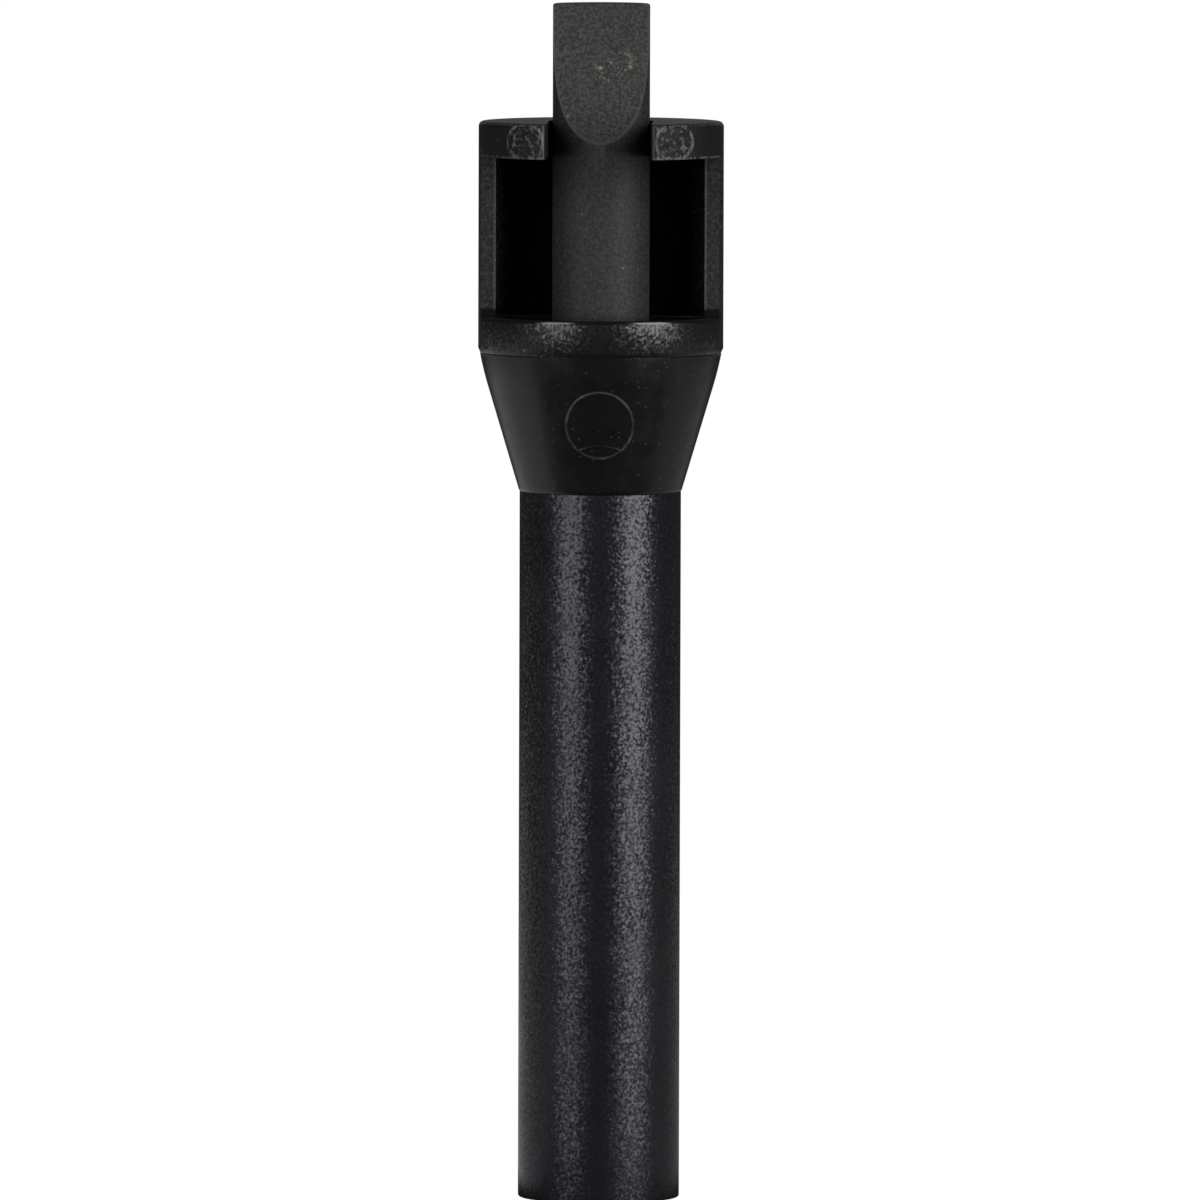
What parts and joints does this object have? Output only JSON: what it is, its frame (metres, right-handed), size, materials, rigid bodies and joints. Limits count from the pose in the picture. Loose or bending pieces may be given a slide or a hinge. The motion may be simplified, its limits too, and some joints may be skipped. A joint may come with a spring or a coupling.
{
  "type": "drip emitter",
  "caption": "Pin-type drip emitter: textured tube shank, smooth cone and a slotted cage head round a metering pin with a hollow-ground tip that turns and lifts.",
  "frame": {"origin": "centre of the shank's open inlet end, which is the lowest face of the fitting", "axes": "+Z along the shank towards the pin's tip; -Y is the open side of the cage, which the hollow-ground face of the pin looks out of at rest; +X completes the frame"},
  "size_m": [0.0082, 0.0082, 0.04],
  "materials": {
    "shank_black": "fine spark-eroded texture",
    "cone_black": "smooth moulded, semi-gloss",
    "head_black": "fine spark-eroded texture, smoother on the top plate",
    "pin_grey": "matt, lightly scuffed",
    "natural_plastic": "natural moulded acetal",
    "silicone": "soft silicone",
    "seal_rubber": "nitrile rubber"
  },
  "bodies": {
    "body": {"shank_tube": "shank_black", "inlet_filter": "natural_plastic", "labyrinth_core": "natural_plastic", "check_disc": "silicone", "cone_housing": "cone_black", "seat_plate": "natural_plastic", "body_oring": "seal_rubber", "cage_head": "head_black", "gland_ring": "natural_plastic", "pin_oring": "seal_rubber"},
    "pin_carrier": {"stop_ring": "natural_plastic"},
    "pin": {"drip_pin": "pin_grey"}
  },
  "joints": [
    {"name": "pin_lift", "type": "slide", "parent": "body", "child": "pin_carrier", "axis": [0, 0, 1], "range_m": [0, 0.00125]},
    {"name": "pin_turn", "type": "hinge", "parent": "pin_carrier", "child": "pin", "pos_m": [0, 0, 0.034], "axis": [0, 0, 1], "continuous": true}
  ]
}
